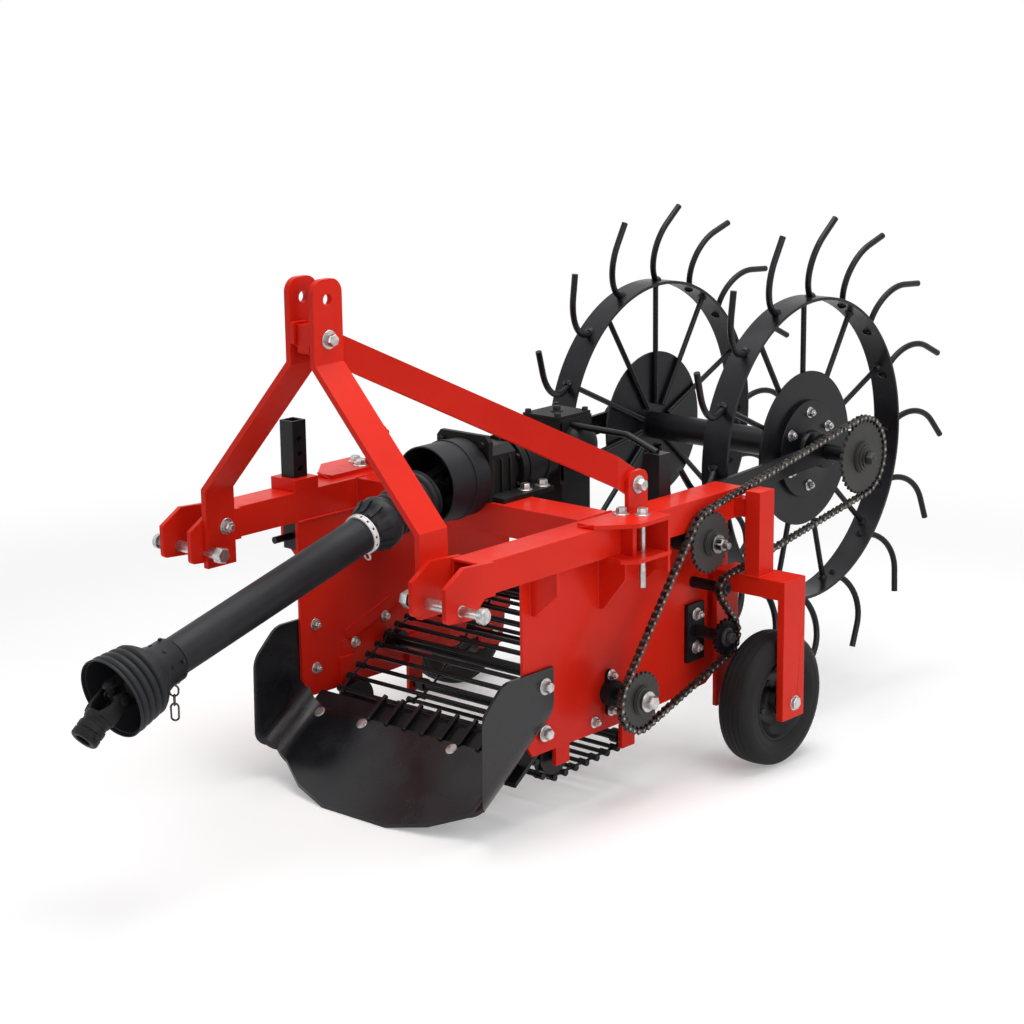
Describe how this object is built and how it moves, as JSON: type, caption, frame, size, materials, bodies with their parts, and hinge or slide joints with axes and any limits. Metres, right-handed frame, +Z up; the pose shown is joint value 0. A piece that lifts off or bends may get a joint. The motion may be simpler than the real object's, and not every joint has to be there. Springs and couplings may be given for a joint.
{
  "type": "potato digger",
  "caption": "Tractor-mounted potato digger with a share, rod elevator web, chain drive, tined rear wheels and a guarded driveline.",
  "frame": {"origin": "centre of the bounding box on the ground", "axes": "+X to the machine's left, +Y to its rear, +Z up"},
  "size_m": [1.228, 2.843, 1.3036],
  "materials": {
    "red_paint": "gloss",
    "zinc_steel": "satin",
    "black_paint": "satin",
    "chain_steel": "satin",
    "black_casting": "satin",
    "black_plastic": "matte",
    "pale_plastic": "matte",
    "tyre_rubber": "matte"
  },
  "bodies": {
    "frame": {"main_beam_left": "red_paint", "main_beam_right": "red_paint", "cross_beam": "red_paint", "clevis_left": "red_paint", "clevis_right": "red_paint", "lower_link_pin_left": "zinc_steel", "lower_link_pin_right": "zinc_steel", "mast_bar_left": "red_paint", "mast_bar_right": "red_paint", "mast_spacer": "red_paint", "stay_left": "red_paint", "stay_right": "red_paint", "elevator_web": "black_paint", "web_rollers": "black_paint", "roller_hangers": "red_paint", "side_chain": "chain_steel", "side_plate_left": "red_paint", "side_plate_right": "red_paint", "lower_shaft": "black_paint", "lower_sprocket": "chain_steel", "web_shaft": "black_paint", "tension_plates": "black_paint", "shaft_bearings": "black_casting", "idler_pin": "black_paint", "idler_sprocket": "chain_steel", "share": "black_paint", "share_carrier": "black_paint", "wheel_fork_left": "red_paint", "wheel_fork_right": "red_paint", "wheel_axles": "zinc_steel", "reel_arms": "black_paint", "clamp_bracket_left": "red_paint", "clamp_bracket_right": "red_paint", "depth_post": "black_paint", "post_collar": "red_paint", "shaft_guard": "black_plastic", "gearbox_case": "black_casting", "gearbox_cover": "black_casting", "rear_post": "black_paint", "gearbox_yoke": "black_casting"},
    "reel": {"reel_axle": "black_paint", "tined_ring_left": "black_paint", "tined_ring_right": "black_paint", "reel_disc_left": "black_paint", "reel_disc_right": "black_paint", "reel_sprocket": "chain_steel"},
    "drop_shaft": {"middle_shaft": "black_paint", "middle_sprocket": "chain_steel"},
    "gauge_wheel_left": {"tyre_left": "tyre_rubber", "wheel_rim_left": "black_paint"},
    "gauge_wheel_right": {"tyre_right": "tyre_rubber", "wheel_rim_right": "black_paint"},
    "driveline_rear": {"rear_yoke": "black_casting", "rear_cone": "black_plastic", "outer_guard_tube": "black_plastic", "guard_collar": "pale_plastic"},
    "driveline_front": {"inner_guard_tube": "black_plastic", "front_cone": "black_plastic"},
    "driveline_shaft": {"shaft_yoke": "black_casting"},
    "tractor_end": {"tractor_yoke": "black_casting"}
  },
  "joints": [
    {"name": "reel_spin", "type": "hinge", "parent": "frame", "child": "reel", "pos_m": [0, 0.80786, 0.69], "axis": [1, 0, 0], "continuous": true},
    {"name": "drop_shaft_spin", "type": "hinge", "parent": "frame", "child": "drop_shaft", "pos_m": [0, 0.14886, 0.591], "axis": [1, 0, 0], "continuous": true},
    {"name": "wheel_left_spin", "type": "hinge", "parent": "frame", "child": "gauge_wheel_left", "pos_m": [0.53, 0.31986, 0.17], "axis": [1, 0, 0], "continuous": true},
    {"name": "wheel_right_spin", "type": "hinge", "parent": "frame", "child": "gauge_wheel_right", "pos_m": [-0.53, 0.31986, 0.17], "axis": [1, 0, 0], "continuous": true},
    {"name": "driveline_swing", "type": "hinge", "parent": "frame", "child": "driveline_rear", "pos_m": [0, -0.29214, 0.755], "axis": [-1, 0, 0], "range_deg": [0, 20]},
    {"name": "driveline_slide", "type": "slide", "parent": "driveline_rear", "child": "driveline_front", "axis": [0, -0.9641, -0.2656], "range_m": [0, 0.25]},
    {"name": "driveline_spin", "type": "hinge", "parent": "driveline_front", "child": "driveline_shaft", "pos_m": [0, -1.31408, 0.47351], "axis": [0, -0.9641, -0.2656], "continuous": true},
    {"name": "tractor_end_swing", "type": "hinge", "parent": "driveline_shaft", "child": "tractor_end", "pos_m": [0, -1.31408, 0.47351], "axis": [-1, 0, 0], "range_deg": [0, 65]}
  ],
  "couplings": [
    {"joint": "drop_shaft_spin", "follows": "reel_spin", "ratio": 1.2593}
  ]
}
